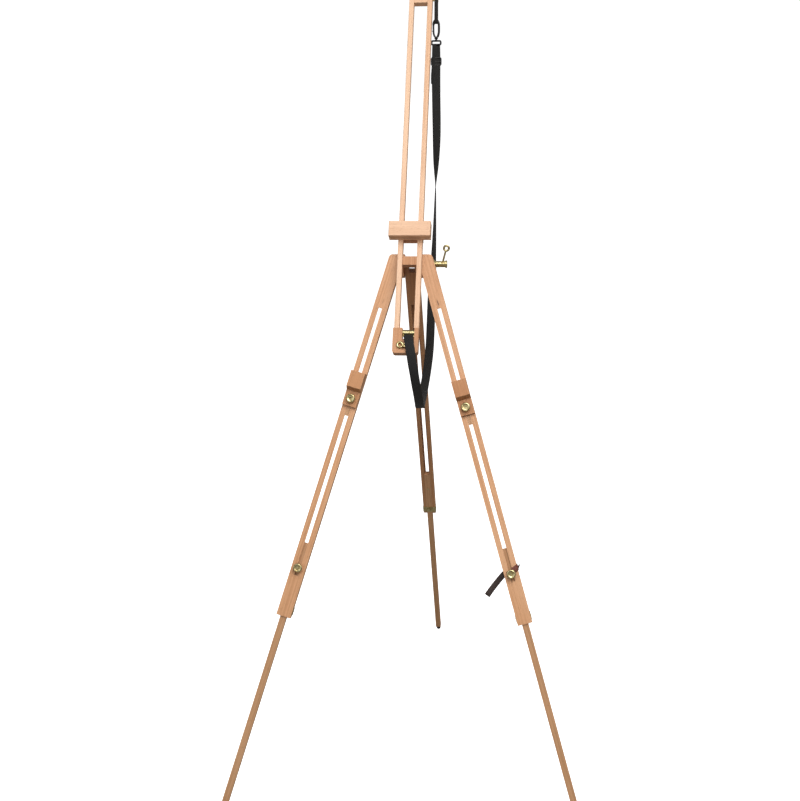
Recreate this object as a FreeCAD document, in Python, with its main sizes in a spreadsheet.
"""A three-legged artist's easel in beech with brass fittings, as separate pieces in one frame.

Millimetres, +Z up, front towards -Y. The origin is on the floor at the middle of the feet's box.
Each leg, the head and the mast has a local frame: Z along the piece and upwards, Y square to its
face and away from the user, X across. Stations along a leg are measured down from its top end.
"""
import FreeCAD, Part
import Sketcher
import math
import os

from FreeCAD import Placement, Rotation, Vector

DIMENSIONS = {
    # the stance
    "head_height": 1210.4, "head_back": -113.5, "plane_lean": 19.47, "leg_splay": 16.26,
    "rear_splay": 28.5, "mast_lean": 31.08, "leg_top_half": 30.0,
    # upper legs
    "board_wide": 32.0, "board_thick": 16.0, "front_board_long": 834.0, "rear_board_long": 838.0,
    "slot_wide": 8.0, "front_slot_top": 125.0, "rear_slot_top": 215.0,
    "front_slot_end": 740.0, "rear_slot_end": 756.0,
    "channel_wide": 14.6, "channel_deep": 12.3, "channel_top": 119.0, "hinge_station": 38.0,
    # lower legs
    "shank_wide": 14.2, "shank_thick": 12.0, "shank_long": 655.0, "shank_bolt_down": 56.0,
    "foot_ball": 6.0, "foot_neck": 8.0, "band_tall": 18.0, "band_up": 6.0, "band_thick": 1.0,
    # head
    "pivot_back": 18.0, "pivot_down": 17.4, "ear_inner": 16.3, "ear_outer": 50.0,
    "ear_back": 36.0, "ear_tall": 46.0, "ear_top_down": 2.0, "shoulder_half": 40.0,
    "shoulder_down": 28.0, "bridge_front": 27.6, "bridge_low": 14.0, "head_gap": 0.3,
    "pivot_bolt_size": 3.0, "hinge_bolt_size": 3.0, "running_clearance": 0.05,
    # mast
    "mast_offset": 42.0, "rail_wide": 11.1, "rail_deep": 18.0, "rail_gap": 31.4,
    "rail_low": 167.0, "rail_high": 657.0, "top_block_tall": 29.0,
    "gap_left": 8.6, "gap_right": 17.6, "foot_proud": 2.2, "cheek_deep": 20.0,
    "foot_block_tall": 57.0, "foot_web_top": 191.0, "foot_recess": 4.0, "strap_bar_size": 7.0,
    "strap_bar_down": 9.0, "foot_stud_down": 207.0,
    "carriage_half": 15.6, "carriage_top": 1.0, "carriage_low": 21.0, "arm_half": 6.5, "eye_size": 8.0,
    # canvas holder on the mast
    "holder_low": 36.0, "holder_high": 70.0, "holder_wide": 92.0, "holder_deep": 27.0,
    "holder_gap": 0.1, "kerf_deep": 6.0, "kerf_wide": 5.0, "kerf_back": 9.0,
    # canvas rests on the front legs
    "rest_left_top": 275.0, "rest_right_top": 291.0, "rest_tall": 77.0, "rest_shelf_tall": 36.0,
    "rest_shelf_deep": 26.0, "rest_plate_deep": 8.0, "rest_key_more": 22.0, "rest_bolt_down": 60.0,
    # round fittings
    "bolt_size": 2.5, "bolt_head": 6.0, "bolt_head_tall": 3.0, "bolt_end": 3.0,
    "washer_size": 7.0, "big_washer_size": 9.0, "washer_thick": 1.0, "big_washer_thick": 1.5,
    "stalk_size": 2.1, "knob_size": 10.0, "knob_tall": 11.0, "ring_outer": 8.0, "ring_wire": 2.4,
    # strap
    "webbing_wide": 20.0, "webbing_thick": 2.0, "strap_across": 5.0, "eye_inner": 1.8,
    "eye_outer": 3.8, "eye_forward": 9.0, "eye_down": 186.5, "ring_rod": 1.6,
    "tie_wide": 12.5, "tie_thick": 1.6,
}

BOARD_TOP_ROUND = 9.0
FORK_DEEP = 26.0
FORK_HALF = 6.9
LEVER_HUB = 27.0

doc = FreeCAD.newDocument("easel")
sheet = doc.addObject("Spreadsheet::Sheet", "dims")
for row, (alias, value) in enumerate(DIMENSIONS.items(), start=1):
    sheet.set(f"A{row}", alias)
    sheet.set(f"B{row}", str(value))
    sheet.setAlias(f"B{row}", alias)
doc.recompute()

PIECES = []


def dim(name):
    """A driving dimension, read back from the sheet."""
    return float(getattr(sheet, name))


def expr(text):
    """The text with every dimension's alias prefixed by its sheet."""
    words = []
    for word in text.replace("(", " ( ").replace(")", " ) ").split():
        words.append(f"dims.{word}" if word in DIMENSIONS else word)
    return " ".join(words)


def value_of(text):
    """What an expression of aliases and numbers comes to."""
    total = text.replace("(", " ( ").replace(")", " ) ").split()
    return _sum([dim(word) if word in DIMENSIONS else word for word in total])


def _sum(tokens):
    """A small left-to-right reader of + - * / with brackets, for drawing before the solver runs."""
    tokens = list(tokens)

    def atom():
        token = tokens.pop(0)
        if token == "(":
            inner = add()
            tokens.pop(0)
            return inner
        if token == "-":
            return -atom()
        return float(token)

    def multiply():
        left = atom()
        while tokens and tokens[0] in ("*", "/"):
            sign = tokens.pop(0)
            right = atom()
            left = left * right if sign == "*" else left / right
        return left

    def add():
        left = multiply()
        while tokens and tokens[0] in ("+", "-"):
            sign = tokens.pop(0)
            right = multiply()
            left = left + right if sign == "+" else left - right
        return left

    return add()


# ---------------------------------------------------------------- frames

def tilt(degrees):
    return Rotation(Vector(1, 0, 0), degrees)


def head_frame():
    """Across, back and up along the plane of the front legs, from the top of that plane."""
    return Placement(Vector(0, dim("head_back"), dim("head_height")), tilt(-dim("plane_lean")))


def pivot_point():
    """The left-right axis on which the mast and the rear leg both turn."""
    return head_frame().multVec(Vector(0, dim("pivot_back"), -dim("pivot_down")))


def front_leg_frame(side):
    """side is -1 for the left leg and 1 for the right one."""
    turn = Rotation(Vector(0, 1, 0), -side * dim("leg_splay"))
    top = head_frame().multVec(Vector(side * dim("leg_top_half"), 0, 0))
    return Placement(top, tilt(-dim("plane_lean")) * turn)


def rear_leg_frame():
    """The rear leg faces backwards: its outer face, with the knob, is the far one."""
    turn = tilt(dim("rear_splay")) * Rotation(Vector(0, 0, 1), 180)
    top = pivot_point() + turn.multVec(Vector(0, 0, dim("board_thick") / 2))
    return Placement(top, turn)


def mast_frame():
    """The mast's middle plane, at the foot of the perpendicular from the pivot."""
    turn = tilt(-dim("mast_lean"))
    return Placement(pivot_point() - turn.multVec(Vector(0, dim("mast_offset"), 0)), turn)


LEFT, RIGHT, REAR = "left", "right", "rear"
LEG_FRAMES = {LEFT: front_leg_frame(-1), RIGHT: front_leg_frame(1), REAR: rear_leg_frame()}
HEAD, MAST = head_frame(), mast_frame()
OUTER_SIDE = {LEFT: -1, RIGHT: 1}


def shank_middle():
    """How far behind the board's middle plane the lower leg's middle lies in its channel."""
    return dim("board_thick") / 2 - dim("shank_thick") / 2 - 0.2


def shank_top(leg):
    """The station of the lower leg's top end that puts the round of its foot on the floor."""
    frame = LEG_FRAMES[leg]
    start = frame.multVec(Vector(0, shank_middle(), 0)).z
    drop = frame.Rotation.multVec(Vector(0, 0, 1)).z
    middle = (start - dim("foot_ball")) / drop
    return middle - dim("foot_neck") - dim("shank_long")


# ---------------------------------------------------------------- modelling helpers

PLANES = {"XY": "XY_Plane", "XZ": "XZ_Plane", "YZ": "YZ_Plane"}


def new_body(name):
    body = doc.addObject("PartDesign::Body", name)
    body.Label = name
    return body


def new_sketch(body, plane, offset=0.0):
    """A sketch on one of the body's origin planes, moved along its normal by offset."""
    sketch = body.newObject("Sketcher::SketchObject", f"{body.Name}_sketch")
    origin = [f for f in body.Origin.OriginFeatures if f.Role == PLANES[plane]][0]
    sketch.AttachmentSupport = [(origin, "")]
    sketch.MapMode = "FlatFace"
    sketch.AttachmentOffset = Placement(Vector(0, 0, offset), Rotation())
    return sketch


def bind(sketch, kind, geometry, point, text):
    """Ties one coordinate of a point, from the sketch's origin, to an expression."""
    number = sketch.addConstraint(
        Sketcher.Constraint(kind, -1, 1, geometry, point, value_of(text)))
    sketch.setExpression(f"Constraints[{number}]", expr(text))


def polygon(sketch, corners):
    """A closed outline of straight edges; each corner is a pair of expressions."""
    spots = [Vector(value_of(a), value_of(b), 0) for a, b in corners]
    first = sketch.GeometryCount
    count = len(spots)
    for n in range(count):
        sketch.addGeometry(Part.LineSegment(spots[n], spots[(n + 1) % count]), False)
    for n in range(count):
        following = first + (n + 1) % count
        sketch.addConstraint(Sketcher.Constraint("Coincident", first + n, 2, following, 1))
    for n, (across, along) in enumerate(corners):
        bind(sketch, "DistanceX", first + n, 1, across)
        bind(sketch, "DistanceY", first + n, 1, along)


def rectangle(sketch, left, right, low, high):
    polygon(sketch, [(left, low), (right, low), (right, high), (left, high)])


def circle(sketch, across, along, radius):
    """A circle whose centre and radius are expressions."""
    spot = Vector(value_of(across), value_of(along), 0)
    number = sketch.addGeometry(Part.Circle(spot, Vector(0, 0, 1), value_of(radius)), False)
    bind(sketch, "DistanceX", number, 3, across)
    bind(sketch, "DistanceY", number, 3, along)
    size = sketch.addConstraint(Sketcher.Constraint("Radius", number, value_of(radius)))
    sketch.setExpression(f"Constraints[{size}]", expr(radius))


def solid_feature(body, kind, sketch, length, both_ways=False, backwards=False):
    """A Pad or Pocket of a sketch, with its length bound to the sheet."""
    feature = body.newObject(f"PartDesign::{kind}", f"{body.Name}_{kind.lower()}")
    feature.Profile = sketch
    feature.Length = abs(value_of(length))
    feature.setExpression("Length", expr(length))
    feature.Midplane = both_ways
    feature.Reversed = backwards
    before = body.Shape.Volume if kind == "Pocket" else None
    doc.recompute()
    if before is not None and not feature.Shape.Volume < before - 0.01:
        raise ValueError(f"{body.Name}: a pocket cut nothing")
    return feature


def pad(body, sketch, length, **options):
    return solid_feature(body, "Pad", sketch, length, **options)


def pocket(body, sketch, length, **options):
    return solid_feature(body, "Pocket", sketch, length, **options)


def round_edges(body, radius, choose):
    """A Fillet over the edges that choose(edge) picks on the body's latest feature."""
    base = body.Tip
    names = [f"Edge{n}" for n, edge in enumerate(base.Shape.Edges, start=1) if choose(edge)]
    if not names:
        raise ValueError(f"{body.Name}: no edge to round")
    fillet = body.newObject("PartDesign::Fillet", f"{body.Name}_fillet")
    fillet.Base = (base, names)
    fillet.Radius = radius
    doc.recompute()
    return fillet


def along(edge, axis):
    """Whether a straight edge runs along a local axis."""
    if not isinstance(edge.Curve, (Part.Line, Part.LineSegment)):
        return False
    return abs(edge.tangentAt(edge.FirstParameter).dot(axis)) > 0.999


def keep(item, frame, name=None):
    """Places a finished piece and puts it on the list of what is written."""
    if name:
        item.Label = name
    item.Placement = frame
    PIECES.append(item)
    return item


def cylinder(name, radius, length, base, axis):
    """A Part cylinder from base along axis, its radius and length bound to the sheet."""
    item = doc.addObject("Part::Cylinder", name)
    item.setExpression("Radius", expr(radius))
    item.setExpression("Height", expr(length))
    item.Placement = Placement(base, Rotation(Vector(0, 0, 1), axis))
    return item


def block(name, low, high):
    """A Part box between two corners, each three expressions."""
    item = doc.addObject("Part::Box", name)
    for side, start, end in zip(("Length", "Width", "Height"), low, high):
        item.setExpression(side, f"({expr(end)}) - ({expr(start)})")
    for axis, start in zip("xyz", low):
        item.setExpression(f"Placement.Base.{axis}", expr(start))
    return item


def fuse(name, *shapes):
    item = doc.addObject("Part::MultiFuse", name)
    item.Shapes = list(shapes)
    doc.recompute()
    return item


def cut(name, base, *tools):
    """base with the tools taken out of it."""
    tool = tools[0] if len(tools) == 1 else fuse(f"{name}_tools", *tools)
    item = doc.addObject("Part::Cut", name)
    item.Base = base
    item.Tool = tool
    doc.recompute()
    return item


def turned(name, profile, frame):
    """A solid of revolution about local Z; profile is (radius, height) corners as expressions."""
    body = new_body(name)
    sketch = new_sketch(body, "XZ")
    polygon(sketch, profile)
    turn = body.newObject("PartDesign::Revolution", f"{name}_turn")
    turn.Profile = sketch
    turn.ReferenceAxis = (sketch, ["V_Axis"])
    turn.Angle = 360.0
    doc.recompute()
    keep(body, frame)
    return body


X_AXIS, Y_AXIS, Z_AXIS = Vector(1, 0, 0), Vector(0, 1, 0), Vector(0, 0, 1)
OUTWARDS = Rotation(Z_AXIS, Vector(0, -1, 0))
ACROSS = Rotation(Z_AXIS, X_AXIS)


def spot(frame, across, back, up, turn=None):
    """A placement at a point of a local frame, turned there."""
    return frame.multiply(Placement(Vector(across, back, up), turn or Rotation()))


# ---------------------------------------------------------------- legs

def upper_leg(leg):
    """A board with a through slot, a channel behind it for the lower leg, and its hinge bore."""
    rear = leg == REAR
    body = new_body(f"upper_leg_{leg}")
    long = "rear_board_long" if rear else "front_board_long"
    outline = new_sketch(body, "XZ")
    rise = 0 if rear else OUTER_SIDE[leg] * math.tan(math.radians(dim("leg_splay"))) / 2
    polygon(outline, [("- board_wide / 2", f"- {long}"), ("board_wide / 2", f"- {long}"),
                      ("board_wide / 2", f"- board_wide * {rise:.5f}"),
                      ("- board_wide / 2", f"board_wide * {rise:.5f}")])
    pad(body, outline, "board_thick", both_ways=True)
    if rear:
        # the top is a full round in side view, on the pivot
        round_edges(body, dim("board_thick") / 2 - 0.01,
                    lambda e: along(e, X_AXIS) and e.CenterOfMass.z > -1)
        fork = new_sketch(body, "XZ")
        rectangle(fork, f"- {FORK_HALF}", f"{FORK_HALF}", f"- {FORK_DEEP}", "1")
        pocket(body, fork, "board_thick + 2", both_ways=True)
        bore = new_sketch(body, "YZ")
        circle(bore, "0", "- board_thick / 2", "pivot_bolt_size + running_clearance")
        pocket(body, bore, "board_wide + 2", both_ways=True)
    else:
        # the top is sawn level with the floor, with its outer corner rounded
        round_edges(body, BOARD_TOP_ROUND,
                    lambda e: along(e, Y_AXIS) and e.CenterOfMass.z > -dim("board_wide")
                    and e.CenterOfMass.x * OUTER_SIDE[leg] > 0)
        bore = new_sketch(body, "XZ", -dim("board_thick") / 2)
        circle(bore, "0", "- hinge_station", "hinge_bolt_size + running_clearance")
        pocket(body, bore, "board_thick - 3", backwards=True)
    channel = new_sketch(body, "XZ", -dim("board_thick") / 2)
    rectangle(channel, "- channel_wide / 2", "channel_wide / 2", f"- {long} - 1", "- channel_top")
    pocket(body, channel, "channel_deep", backwards=True)
    slot = new_sketch(body, "XZ")
    end, top = ("rear_slot_end", "rear_slot_top") if rear else ("front_slot_end", "front_slot_top")
    rectangle(slot, "- slot_wide / 2", "slot_wide / 2", f"- {end}", f"- {top}")
    pocket(body, slot, "board_thick + 2", both_ways=True)
    keep(body, LEG_FRAMES[leg])


def guide_band(leg):
    """A brass band bent round the board's end that keeps the lower leg in its channel."""
    long = "rear_board_long" if leg == REAR else "front_board_long"
    low, high = f"- {long} + band_up", f"- {long} + band_up + band_tall"
    outer = block(f"band_outer_{leg}", ("- board_wide / 2 - band_thick", "0 - 2", low),
                  ("board_wide / 2 + band_thick", "board_thick / 2 + band_thick", high))
    inner = block(f"band_inner_{leg}", ("- board_wide / 2", "0 - 4", f"{low} - 1"),
                  ("board_wide / 2", "board_thick / 2", f"{high} + 1"))
    keep(cut(f"guide_band_{leg}", outer, inner), LEG_FRAMES[leg], f"guide_band_{leg}")


def lower_leg(leg):
    """The square lower leg, its clamp bolt, knob and rubber foot."""
    frame, top, middle = LEG_FRAMES[leg], shank_top(leg), shank_middle()
    body = new_body(f"lower_leg_{leg}")
    section = new_sketch(body, "XY")
    rectangle(section, "- shank_wide / 2", "shank_wide / 2", "- shank_thick / 2", "shank_thick / 2")
    pad(body, section, "shank_long", backwards=True)
    bore = new_sketch(body, "XZ")
    circle(bore, "0", "- shank_bolt_down", "bolt_size")
    pocket(body, bore, "shank_thick + 2", both_ways=True)
    keep(body, spot(frame, 0, middle, -top))

    bolt_up = -top - dim("shank_bolt_down")
    inner = middle + dim("shank_thick") / 2
    outer = -dim("board_thick") / 2 - (dim("tie_thick") + 0.2 if leg == RIGHT else 0)
    turned(f"leg_bolt_{leg}",
           [("0", "0"), ("bolt_size", "0"), ("bolt_size", "board_thick + knob_tall"),
            ("0", "board_thick + knob_tall")],
           spot(frame, 0, inner, bolt_up, OUTWARDS))
    turned(f"leg_washer_{leg}",
           [("bolt_size", "0"), ("washer_size", "0"), ("washer_size", "washer_thick"),
            ("bolt_size", "washer_thick")],
           spot(frame, 0, outer - 0.3, bolt_up, OUTWARDS))
    turned(f"leg_knob_{leg}", knob_profile(), spot(frame, 0, outer - 1.5, bolt_up, OUTWARDS))
    wood_end = -top - dim("shank_long")
    turned(f"rubber_foot_{leg}", foot_profile(), spot(frame, 0, middle, wood_end))


def knob_profile():
    """A turned brass knob: a narrow neck, then a wide rim with a shallow crown."""
    clear = "bolt_size + running_clearance"
    return [(clear, "0"), ("knob_size * 0.5", "0"), ("knob_size * 0.55", "knob_tall * 0.3"),
            ("knob_size", "knob_tall * 0.42"), ("knob_size", "knob_tall * 0.86"),
            ("knob_size * 0.86", "knob_tall"), (clear, "knob_tall")]


def foot_profile():
    """A neck and a ball end, the ball drawn as short chords."""
    corners = [("0", "0"), ("foot_ball", "0"), ("foot_ball", "- foot_neck")]
    steps = 8
    for n in range(1, steps):
        turn = math.radians(90 * n / steps)
        corners.append((f"foot_ball * {math.cos(turn):.5f}",
                        f"- foot_neck - foot_ball * {math.sin(turn):.5f}"))
    corners.append(("0", "- foot_neck - foot_ball"))
    return corners


def canvas_rest(leg):
    """A stepped block clamped to the leg's slot, on which the canvas stands."""
    frame = LEG_FRAMES[leg]
    top = f"rest_{leg}_top"
    face = "- board_thick / 2 - 0.2"
    body = new_body(f"canvas_rest_{leg}")
    side = new_sketch(body, "YZ")
    low = f"- {top} - rest_tall"
    shelf = f"- {top} - rest_shelf_tall"
    polygon(side, [(face, low), (face, f"- {top}"), (f"{face} - rest_shelf_deep", f"- {top}"),
                   (f"{face} - rest_shelf_deep", shelf), (f"{face} - rest_plate_deep", f"{shelf} - 7"),
                   (f"{face} - rest_plate_deep", low)])
    pad(body, side, "board_wide", both_ways=True)
    bore = new_sketch(body, "XZ")
    circle(bore, "0", f"- {top} - rest_bolt_down", "bolt_size")
    pocket(body, bore, "board_thick + 2 * rest_plate_deep + 4", both_ways=True)
    keep(body, frame)

    key = new_body(f"rest_key_{leg}")
    run = new_sketch(key, "YZ")
    rectangle(run, "- board_thick / 2", "board_thick / 2 - channel_deep + 1",
              f"- {top} - rest_tall - rest_key_more", f"- {top} - 6")
    pad(key, run, "slot_wide - 0.4", both_ways=True)
    bore = new_sketch(key, "XZ")
    circle(bore, "0", f"- {top} - rest_bolt_down", "bolt_size")
    pocket(key, bore, "board_thick + 2", both_ways=True)
    keep(key, frame)

    bolt_up = -dim(top) - dim("rest_bolt_down")
    outer = -dim("board_thick") / 2 - dim("rest_plate_deep") - 0.2
    turned(f"rest_bolt_{leg}",
           [("0", "0"), ("bolt_head", "0"), ("bolt_head", "bolt_head_tall"),
            ("bolt_size", "bolt_head_tall"), ("bolt_size", "board_thick + rest_plate_deep"),
            ("0", "board_thick + rest_plate_deep")],
           spot(frame, 0, 0.3, bolt_up, OUTWARDS))
    turned(f"rest_knob_{leg}", knob_profile(), spot(frame, 0, outer - 0.3, bolt_up, OUTWARDS))


# ---------------------------------------------------------------- head

def head_block():
    """Two ears behind the front legs, joined by a bridge behind the rear leg's top."""
    body = new_body("head_block")
    outline = new_sketch(body, "XZ", -dim("board_thick") / 2 - dim("head_gap"))
    polygon(outline, [("- shoulder_half", "- ear_top_down"), ("- ear_outer", "- shoulder_down"),
                      ("- ear_outer", "- ear_tall"), ("ear_outer", "- ear_tall"),
                      ("ear_outer", "- shoulder_down"), ("shoulder_half", "- ear_top_down")])
    pad(body, outline, "ear_back - board_thick / 2 - head_gap", backwards=True)
    throat = new_sketch(body, "YZ")
    rectangle(throat, "0", "bridge_front", "- ear_tall - 1", "0")
    pocket(body, throat, "ear_inner * 2", both_ways=True)
    under = new_sketch(body, "YZ")
    rectangle(under, "bridge_front - 1", "ear_back + 1", "- ear_tall - 1", "- bridge_low")
    pocket(body, under, "ear_inner * 2", both_ways=True)
    bore = new_sketch(body, "YZ")
    circle(bore, "pivot_back", "- pivot_down", "pivot_bolt_size")
    pocket(body, bore, "ear_outer * 2 + 2", both_ways=True)
    holes = new_sketch(body, "XZ")
    for side in ("", "- "):
        circle(holes, f"{side}( {hinge_across():.4f} )", f"- {hinge_down():.4f}", "hinge_bolt_size")
    pocket(body, holes, "ear_back * 2 + 2", both_ways=True)
    keep(body, HEAD)


def hinge_across():
    splay = math.radians(dim("leg_splay"))
    return dim("leg_top_half") + dim("hinge_station") * math.sin(splay)


def hinge_down():
    return dim("hinge_station") * math.cos(math.radians(dim("leg_splay")))


def head_fittings():
    """The pivot bolt, its washer, the lever nut, and the two bolts the front legs turn on."""
    pivot = Placement(pivot_point(), Rotation())
    turned("pivot_bolt",
           [("0", "0 - ear_outer - bolt_head_tall"), ("bolt_head", "0 - ear_outer - bolt_head_tall"),
            ("bolt_head", "0 - ear_outer"), ("pivot_bolt_size", "0 - ear_outer"),
            ("pivot_bolt_size", f"ear_outer + {LEVER_HUB}"), ("0", f"ear_outer + {LEVER_HUB}")],
           spot(pivot, 0, 0, 0, ACROSS))
    turned("pivot_washer",
           [("pivot_bolt_size", "ear_outer"), ("big_washer_size", "ear_outer"),
            ("big_washer_size", "ear_outer + big_washer_thick"),
            ("pivot_bolt_size", "ear_outer + big_washer_thick")],
           spot(pivot, 0, 0, 0, ACROSS))
    for side, sign in ((LEFT, -1), (RIGHT, 1)):
        place = spot(HEAD, sign * hinge_across(), dim("ear_back"), -hinge_down(), OUTWARDS)
        turned(f"hinge_bolt_{side}",
               [("0", "0 - bolt_head_tall"), ("bolt_head", "0 - bolt_head_tall"),
                ("bolt_head", "0"), ("hinge_bolt_size", "0"),
                ("hinge_bolt_size", "ear_back + bolt_end"), ("0", "ear_back + bolt_end")],
               place)


def lever_nut(name, frame, hub_long, hub_size, rim_size, stalk_up, stalk_long, lean, upright):
    """A round nut with a stalk ending in a ring; local Z is the bolt's axis.

    The stalk leans by lean degrees from local X towards Z, and the ring lies in the plane of the
    stalk and the bolt if it is upright, or square to the bolt if not.
    """
    rim_tall = 3.5
    root = Vector(0, 0, stalk_up)
    way = Vector(math.cos(math.radians(lean)), 0, math.sin(math.radians(lean)))
    hub = cylinder(f"{name}_hub", f"{hub_size}", f"{hub_long}", Vector(0, 0, 0), Z_AXIS)
    rim = cylinder(f"{name}_rim", f"{rim_size}", f"{rim_tall}", Vector(0, 0, hub_long - rim_tall),
                   Z_AXIS)
    stalk = cylinder(f"{name}_stalk", "stalk_size", f"{stalk_long}", root, way)
    ring = doc.addObject("Part::Torus", f"{name}_ring")
    ring.setExpression("Radius1", expr("ring_outer - ring_wire"))
    ring.setExpression("Radius2", expr("ring_wire"))
    middle = root + way * (stalk_long + dim("ring_outer") - dim("ring_wire"))
    ring.Placement = Placement(middle, Rotation(Z_AXIS, Y_AXIS if upright else Z_AXIS))
    whole = fuse(f"{name}_whole", hub, rim, stalk, ring)
    bore = cylinder(f"{name}_bore", "pivot_bolt_size + running_clearance", f"{hub_long + 2}",
                    Vector(0, 0, -1), Z_AXIS)
    keep(cut(name, whole, bore), frame, name)


def lever_nuts():
    pivot = Placement(pivot_point(), Rotation())
    upright = Rotation(Z_AXIS, Vector(0, -1, 0), X_AXIS, "ZXY")
    lever_nut("pivot_lever_nut", spot(pivot, dim("ear_outer") + 1.8, 0, 0, upright),
              hub_long=LEVER_HUB, hub_size=7.0, rim_size=8.5, stalk_up=16.2, stalk_long=31.0,
              lean=15.0, upright=True)
    # the foot's ring lies in front of the cheek, pointing to the left
    sideways = OUTWARDS * Rotation(Z_AXIS, 178)
    recess = -dim("cheek_deep") / 2 + dim("foot_recess") - 0.3
    lever_nut("foot_ring_nut", spot(MAST, 0, recess, -dim("foot_stud_down"), sideways),
              hub_long=7.6, hub_size=4.8, rim_size=4.8, stalk_up=6.45, stalk_long=6.5,
              lean=0.0, upright=False)


def tilt_carriage():
    """A block between the rails with an arm back to the pivot, ending in a round eye."""
    body = new_body("tilt_carriage")
    side = new_sketch(body, "YZ")
    rectangle(side, "- rail_deep / 2 + 2", "rail_deep / 2", "- carriage_low", "- carriage_top")
    pad(body, side, "carriage_half * 2", both_ways=True)
    arm = new_sketch(body, "YZ")
    polygon(arm, [("rail_deep / 2 - 4", "- carriage_low"), ("rail_deep / 2", "- carriage_low"),
                  ("mast_offset - 2", "- eye_size + 0.4"), ("mast_offset", "0"),
                  ("mast_offset - 2", "eye_size - 0.4"), ("rail_deep / 2", "- carriage_top"),
                  ("rail_deep / 2 - 4", "- carriage_top")])
    pad(body, arm, "arm_half * 2", both_ways=True)
    eye = new_sketch(body, "YZ")
    circle(eye, "mast_offset", "0", "eye_size")
    pad(body, eye, "arm_half * 2", both_ways=True)
    bore = new_sketch(body, "YZ")
    circle(bore, "mast_offset", "0", "pivot_bolt_size + running_clearance")
    pocket(body, bore, "arm_half * 2 + 2", both_ways=True)
    keep(body, MAST)


# ---------------------------------------------------------------- mast

def mast_rails():
    for side, sign in ((LEFT, "- "), (RIGHT, "")):
        inner, outer = "rail_gap / 2", "rail_gap / 2 + rail_wide"
        body = new_body(f"mast_rail_{side}")
        section = new_sketch(body, "XY", -dim("rail_low"))
        edges = (f"- ( {outer} )", f"- ( {inner} )") if sign else (inner, outer)
        rectangle(section, edges[0], edges[1], "- rail_deep / 2", "rail_deep / 2")
        pad(body, section, "rail_low + rail_high")
        round_edges(body, 1.2, lambda e: along(e, Z_AXIS))
        keep(body, MAST)


def mast_blocks():
    """The block that closes the top of the rails and the forked block at their foot."""
    top = new_body("mast_top_block")
    face = new_sketch(top, "XZ")
    rectangle(face, "- rail_gap / 2", "rail_gap / 2", "rail_high - top_block_tall", "rail_high")
    pad(top, face, "rail_deep - 2", both_ways=True)
    keep(top, MAST)

    foot = new_body("mast_foot_block")
    face = new_sketch(foot, "XZ")
    right, left = "rail_gap / 2 + rail_wide", "- rail_gap / 2 - rail_wide - foot_proud"
    low, web, top = "- rail_low - foot_block_tall", "- foot_web_top", "- rail_low"
    polygon(face, [(left, low), (right, low), (right, top), ("gap_right", top), ("gap_right", web),
                   ("- gap_left", web), ("- gap_left", top), (left, top)])
    pad(foot, face, "cheek_deep", both_ways=True)
    below_web = -dim("foot_web_top") - 20
    round_edges(foot, 6.0, lambda e: along(e, Y_AXIS) and e.CenterOfMass.z < below_web)
    recess = new_sketch(foot, "XZ", dim("cheek_deep") / 2)
    rectangle(recess, "- gap_left", "gap_right", f"{low} + 7", f"{web} + 1")
    pocket(foot, recess, "foot_recess")
    bore = new_sketch(foot, "YZ")
    circle(bore, "0", "- rail_low - strap_bar_down", "3")
    pocket(foot, bore, "rail_gap + rail_wide * 2 + foot_proud * 2 + 2", both_ways=True)
    stud = new_sketch(foot, "XZ")
    circle(stud, "0", "- foot_stud_down", "pivot_bolt_size")
    pocket(foot, stud, "cheek_deep + 2", both_ways=True)
    keep(foot, MAST)


def strap_bar(bar_up):
    """A brass sleeve between the cheeks with a wire ring hanging from it that carries the strap."""
    sleeve = cylinder("bar_sleeve", "strap_bar_size", "gap_left + gap_right",
                      Vector(-dim("gap_left"), 0, bar_up), X_AXIS)
    reach = dim("webbing_wide") / 2 + 1.4
    centre = Vector(dim("strap_across"), -dim("eye_forward"), -dim("eye_down"))
    fall = centre - Vector(dim("strap_across"), 0, bar_up)
    wires = []
    for side in (-1, 1):
        start = Vector(dim("strap_across") + side * reach, 0, bar_up)
        wires.append(cylinder("ring_side", "1.2", f"{fall.Length}", start, fall))
    rod = cylinder("ring_low", "ring_rod", f"{2 * reach + 2}", centre - X_AXIS * (reach + 1), X_AXIS)
    bore = cylinder("bar_bore", "3", "gap_left + gap_right + 2",
                    Vector(-dim("gap_left") - 1, 0, bar_up), X_AXIS)
    keep(cut("strap_bar", fuse("bar_and_ring", sleeve, rod, *wires), bore), MAST, "strap_bar")


def mast_fittings():
    """The brass strap bar across the foot block, the foot's stud and its ring nut."""
    bar_up = -dim("rail_low") - dim("strap_bar_down")
    strap_bar(bar_up)
    rod = spot(MAST, -dim("rail_gap") / 2 - dim("rail_wide"), 0, bar_up, ACROSS)
    turned("strap_bar_rod",
           [("0", "0"), ("3", "0"), ("3", "rail_gap + rail_wide * 2"),
            ("0", "rail_gap + rail_wide * 2")], rod)
    stud = spot(MAST, 0, dim("cheek_deep") / 2, -dim("foot_stud_down"), OUTWARDS)
    turned("foot_stud",
           [("0", "0 - bolt_head_tall"), ("bolt_head", "0 - bolt_head_tall"), ("bolt_head", "0"),
            ("pivot_bolt_size", "0"), ("pivot_bolt_size", "cheek_deep + 1"),
            ("0", "cheek_deep + 1")], stud)


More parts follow.
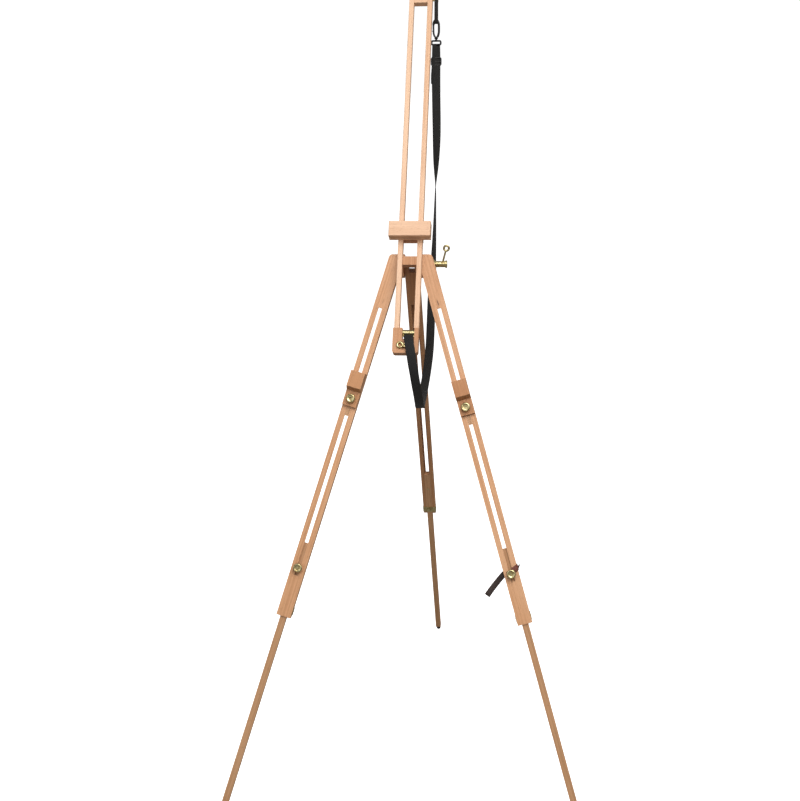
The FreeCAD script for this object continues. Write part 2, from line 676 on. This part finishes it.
def canvas_holder():
    """The stepped block in front of the rails that holds the canvas's top edge."""
    front = "- rail_deep / 2 - holder_gap"
    body = new_body("holder_block")
    side = new_sketch(body, "YZ")
    rectangle(side, f"{front} - holder_deep", front, "holder_low", "holder_high")
    pad(body, side, "holder_wide", both_ways=True)
    kerf = new_sketch(body, "YZ")
    rectangle(kerf, f"{front} - kerf_back - kerf_wide", f"{front} - kerf_back",
              "holder_low - 1", "holder_low + kerf_deep")
    pocket(body, kerf, "holder_wide + 2", both_ways=True)
    round_edges(body, 1.5, lambda e: along(e, Z_AXIS) and e.CenterOfMass.z > 50)
    bore = new_sketch(body, "XZ")
    circle(bore, "0", "holder_low / 2 + holder_high / 2", "bolt_size")
    pocket(body, bore, "rail_deep + 12", both_ways=True)
    keep(body, MAST)

    plate = new_body("holder_back_plate")
    face = new_sketch(plate, "XZ", -dim("rail_deep") / 2 - dim("holder_gap"))
    rectangle(face, "- rail_gap / 2 - rail_wide", "rail_gap / 2 + rail_wide",
              "holder_low + 3", "holder_high - 3")
    pad(plate, face, "8", backwards=True)
    bore = new_sketch(plate, "XZ")
    circle(bore, "0", "holder_low / 2 + holder_high / 2", "bolt_size")
    pocket(plate, bore, "rail_deep * 2 + 24", both_ways=True)
    keep(plate, MAST)

    up = (dim("holder_low") + dim("holder_high")) / 2
    start = -dim("rail_deep") / 2 - dim("holder_gap") - 4.5
    backwards = Rotation(Z_AXIS, Y_AXIS)
    turned("holder_bolt",
           [("0", "0"), ("bolt_size", "0"), ("bolt_size", "rail_deep + 8 + 4.5 + knob_tall"),
            ("0", "rail_deep + 8 + 4.5 + knob_tall")],
           spot(MAST, 0, start, up, backwards))
    plate_back = dim("rail_deep") / 2 + dim("holder_gap") + 8
    turned("holder_knob", knob_profile(), spot(MAST, 0, plate_back + 0.3, up, backwards))


# ---------------------------------------------------------------- straps

# the shoulder strap's route: out of the foot's bar, down in a deep loop and up to the snap hook
STRAP_ROUTE = [
    (5, -244, 1056.8), (6.6, -253.1, 1049.4), (9, -261, 1040.6), (12.4, -269.8, 1025),
    (16, -275, 1003), (20, -275.5, 979), (23, -269.5, 953), (25.5, -257, 928),
    (26, -237, 905), (24.5, -208, 886), (21.8, -171, 875), (19.5, -129, 872), (19.4, -87, 878),
    (21, -48, 895), (24, -13, 922), (27.5, 16, 961), (28, 41, 1008), (28.5, 63, 1058),
    (30, 83, 1111), (31.5, 100, 1167), (33, 115, 1224), (34, 126, 1281), (35, 136, 1338),
    (36, 145, 1395), (37, 153, 1452), (36, 161, 1509), (35, 168, 1562), (35, 174, 1611),
    (35, 180, 1657),
]


def rounded_route(points):
    """Straight runs joined by tangent arcs, as one wire, with the arcs' radii."""
    spots = [Vector(*p) for p in points]
    edges, radii, start = [], [], spots[0]
    for before, corner, after in zip(spots, spots[1:], spots[2:]):
        inward, outward = (corner - before), (after - corner)
        shorter = min(inward.Length, outward.Length)
        inward.normalize()
        outward.normalize()
        half_turn = math.acos(max(-1.0, min(1.0, inward.dot(outward)))) / 2
        reach = 0.45 * shorter
        radii.append(reach / math.tan(half_turn))
        first, last = corner - inward * reach, corner + outward * reach
        bisector = outward - inward
        bisector.normalize()
        sagitta = radii[-1] * (1 / math.cos(half_turn) - 1)
        edges.append(Part.LineSegment(start, first).toShape())
        edges.append(Part.Arc(first, corner + bisector * sagitta, last).toShape())
        start = last
    edges.append(Part.LineSegment(start, spots[-1]).toShape())
    return Part.Wire(edges), radii


def shoulder_strap():
    """The webbing strap's solid: a flat band that keeps its width across the easel."""
    path, radii = rounded_route(STRAP_ROUTE)
    start = Vector(*STRAP_ROUTE[0])
    heading = Vector(*STRAP_ROUTE[1]) - start
    heading.normalize()
    across = X_AXIS - heading * X_AXIS.dot(heading)
    across.normalize()
    through = heading.cross(across)
    wide, thick = across * (dim("webbing_wide") / 2), through * (dim("webbing_thick") / 2)
    corners = [start - wide - thick, start + wide - thick, start + wide + thick, start - wide + thick]
    section = Part.makePolygon(corners + corners[:1])
    sweep = Part.BRepOffsetAPI.MakePipeShell(path)
    sweep.setBiNormalMode(X_AXIS)
    sweep.add(section)
    sweep.build()
    sweep.makeSolid()
    band = doc.addObject("Part::Feature", "shoulder_strap")
    band.Shape = sweep.shape()
    print("strap radii", [round(r) for r in radii], "length", round(path.Length, 1))
    print("strap volume over section times length",
          round(band.Shape.Volume / (dim("webbing_wide") * dim("webbing_thick") * path.Length), 3))
    keep(band, Placement())


def strap_hardware():
    """The strap's lower eye, its slider and snap hook, and the loop and pin that hold the hook."""
    eye = cylinder("eye_wall", "eye_outer", "webbing_wide", Vector(0, 0, 0), Z_AXIS)
    hole = cylinder("eye_hole", "eye_inner", "webbing_wide + 2", Vector(0, 0, -1), Z_AXIS)
    across = spot(MAST, dim("strap_across") - dim("webbing_wide") / 2, -dim("eye_forward"),
                  -dim("eye_down"), ACROSS)
    keep(cut("strap_end_eye", eye, hole), across, "strap_end_eye")

    end, before = Vector(*STRAP_ROUTE[-1]), Vector(*STRAP_ROUTE[-2])
    rise = end - before
    rise.normalize()
    lie = Rotation(Z_AXIS, rise)
    plate = block("slider_plate", ("- 12.5", "- 1.9", "- 9.5"), ("12.5", "1.9", "9.5"))
    keep(fuse("strap_slider", plate, cylinder("slider_bar", "2.4", "25", Vector(-12.5, 0, 0), X_AXIS)),
         Placement(before + rise * 8, lie), "strap_slider")
    swivel = Placement(end, lie)
    neck = cylinder("hook_neck", "3.4", "16", Vector(0, 0, 0), Z_AXIS)
    foot = block("hook_foot", ("- 11.5", "- 2.4", "0"), ("11.5", "2.4", "7"))
    ring = block("hook_ring", ("- 8.5", "- 2.8", "15"), ("8.5", "2.8", "58"))
    gap = block("hook_gap", ("- 4.6", "- 3.2", "21"), ("4.6", "3.2", "52"))
    keep(cut("snap_hook", fuse("hook_body", neck, foot, ring), gap), swivel, "snap_hook")
    loop = block("loop_outer", ("- 1.5", "- 7", "46"), ("1.5", "7", "106"))
    hollow = block("loop_hollow", ("- 2.5", "- 4.6", "49"), ("2.5", "4.6", "103"))
    keep(cut("hook_loop", loop, hollow), swivel, "hook_loop")
    pin_middle = swivel.multVec(Vector(0, 0, 100.3))
    rail_face = dim("rail_gap") / 2 + dim("rail_wide")
    pin_start = Placement(Vector(rail_face, pin_middle.y, pin_middle.z), ACROSS)
    turned("loop_pin",
           [("0", "0"), ("2.6", "0"), ("2.6", "11"), ("4.2", "11"), ("4.2", "13"), ("0", "13")],
           pin_start)


def leather_tie():
    """A leather strip from under the right leg's knob, round behind the leg, with a free end.

    It rises a little from the knob to the leg's right edge and falls away on the left.
    """
    down = f"- {shank_top(RIGHT):.4f} - shank_bolt_down"
    half, face = "tie_wide / 2", "( board_thick / 2 + 0.2 )"
    edge = "( board_wide / 2 + 0.2 )"
    rise, fall = 11.0, 3.6
    body = new_body("leather_tie")
    front = new_sketch(body, "XZ", value_of(face))
    polygon(front, [("- 7", f"{down} - {half}"), (f"{edge} + tie_thick", f"{down} + {rise} - {half}"),
                    (f"{edge} + tie_thick", f"{down} + {rise} + {half}"), ("- 7", f"{down} + {half}")])
    pad(body, front, "tie_thick")
    turn = new_sketch(body, "YZ", value_of(edge))
    rectangle(turn, f"- {face} - tie_thick", f"{face} + tie_thick", f"{down} + {rise} - {half}",
              f"{down} + {rise} + {half}")
    pad(body, turn, "tie_thick")
    behind = new_sketch(body, "XZ", -value_of(face))
    polygon(behind, [(f"{edge} + tie_thick", f"{down} + {rise} - {half}"),
                     (f"{edge} + tie_thick", f"{down} + {rise} + {half}"),
                     ("- board_wide / 2", f"{down} + {fall} + {half}"),
                     ("- board_wide / 2 - 44", f"{down} - 24"), ("- board_wide / 2 - 50", f"{down} - 31"),
                     ("- board_wide / 2 - 43", f"{down} - 38"),
                     ("- board_wide / 2 - 3", f"{down} + {fall} - {half} - 3")])
    pad(body, behind, "tie_thick", backwards=True)
    bore = new_sketch(body, "XZ")
    circle(bore, "0", down, "bolt_size + 0.1")
    pocket(body, bore, "board_thick + 6", backwards=True)
    keep(body, LEG_FRAMES[RIGHT])


def build():
    for leg in (LEFT, RIGHT, REAR):
        upper_leg(leg)
        guide_band(leg)
        lower_leg(leg)
    for leg in (LEFT, RIGHT):
        canvas_rest(leg)
    head_block()
    head_fittings()
    tilt_carriage()
    mast_rails()
    mast_blocks()
    mast_fittings()
    canvas_holder()
    lever_nuts()
    shoulder_strap()
    strap_hardware()
    leather_tie()


def write():
    os.makedirs("parts", exist_ok=True)
    doc.recompute()
    faults = [o.Name for o in doc.Objects if {"Invalid", "Error"} & set(o.State)]
    bad = [p.Label for p in PIECES if p.Shape.isNull() or not p.Shape.isValid()]
    many = [(p.Label, len(p.Shape.Solids)) for p in PIECES if len(p.Shape.Solids) != 1]
    if faults or bad or many:
        raise ValueError(f"failed objects {faults}, bad shapes {bad}, solid counts {many}")
    for old in os.listdir("parts"):
        if old.endswith(".step"):
            os.remove(os.path.join("parts", old))
    for piece in PIECES:
        piece.Shape.exportStep(f"parts/{piece.Label}.step")
    whole = Part.makeCompound([p.Shape for p in PIECES if p.Label not in ("shoulder_strap",)])
    box = whole.BoundBox
    print(len(PIECES), "pieces; x", round(box.XMin, 2), round(box.XMax, 2), "y", round(box.YMin, 2),
          round(box.YMax, 2), "z", round(box.ZMin, 2), round(box.ZMax, 2))


build()
write()
